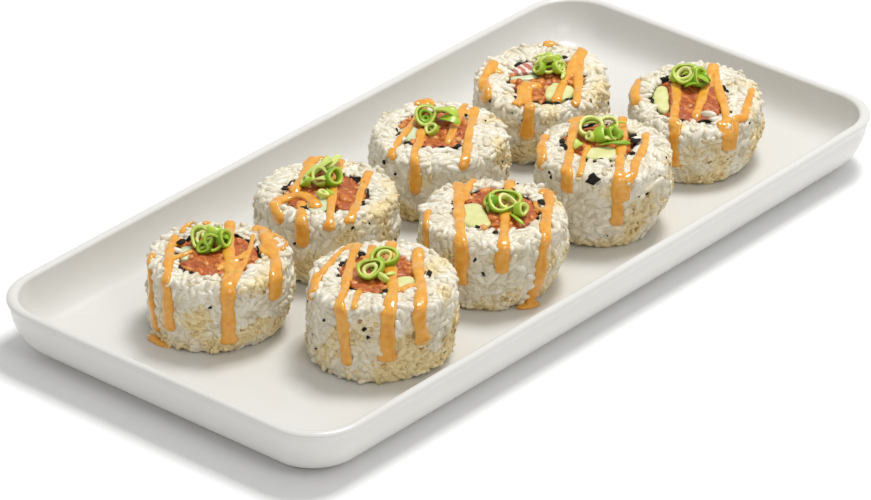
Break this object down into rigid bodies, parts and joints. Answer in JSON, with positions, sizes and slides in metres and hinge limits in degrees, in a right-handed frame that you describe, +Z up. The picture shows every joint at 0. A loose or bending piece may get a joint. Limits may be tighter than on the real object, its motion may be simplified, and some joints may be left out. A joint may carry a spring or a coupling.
{
  "type": "maki sushi roll platter",
  "caption": "Long white rounded rectangular ceramic plate carrying cut rice-outside maki roll slices with tuna, avocado, cucumber, scallion and drizzled sauce.",
  "frame": {"origin": "on the table under the centre of the plate", "axes": "+X along the plate's length, +Y across it towards the row of slices that is slightly nearer the left end, +Z up"},
  "size_m": [0.3066, 0.1514, 0.0404],
  "materials": {
    "plate": "gloss",
    "rice": "satin",
    "nori": "matte",
    "tuna": "gloss",
    "fish": "satin",
    "avocado": "satin",
    "cucumber": "satin",
    "scallion": "satin"
  },
  "bodies": {
    "root": {"plate": "plate", "roll1_cucumber": "cucumber", "roll1_nori": "nori", "roll1_rice": "rice", "roll1_scallion": "scallion", "roll1_tuna": "tuna", "roll2_cucumber": "cucumber", "roll2_nori": "nori", "roll2_rice": "rice", "roll2_scallion": "scallion", "roll2_tuna": "tuna", "roll3_cucumber": "cucumber", "roll3_nori": "nori", "roll3_rice": "rice", "roll3_scallion": "scallion", "roll3_tuna": "tuna", "roll4_avocado": "avocado", "roll4_cucumber": "cucumber", "roll4_fish": "fish", "roll4_nori": "nori", "roll4_rice": "rice", "roll4_scallion": "scallion", "roll4_tuna": "tuna", "roll5_avocado": "avocado", "roll5_nori": "nori", "roll5_rice": "rice", "roll5_scallion": "scallion", "roll5_tuna": "tuna", "roll6_avocado": "avocado", "roll6_nori": "nori", "roll6_rice": "rice", "roll6_scallion": "scallion", "roll6_tuna": "tuna", "roll7_avocado": "avocado", "roll7_cucumber": "cucumber", "roll7_nori": "nori", "roll7_rice": "rice", "roll7_scallion": "scallion", "roll7_tuna": "tuna", "roll8_avocado": "avocado", "roll8_nori": "nori", "roll8_rice": "rice", "roll8_scallion": "scallion", "roll8_tuna": "tuna"}
  },
  "joints": []
}
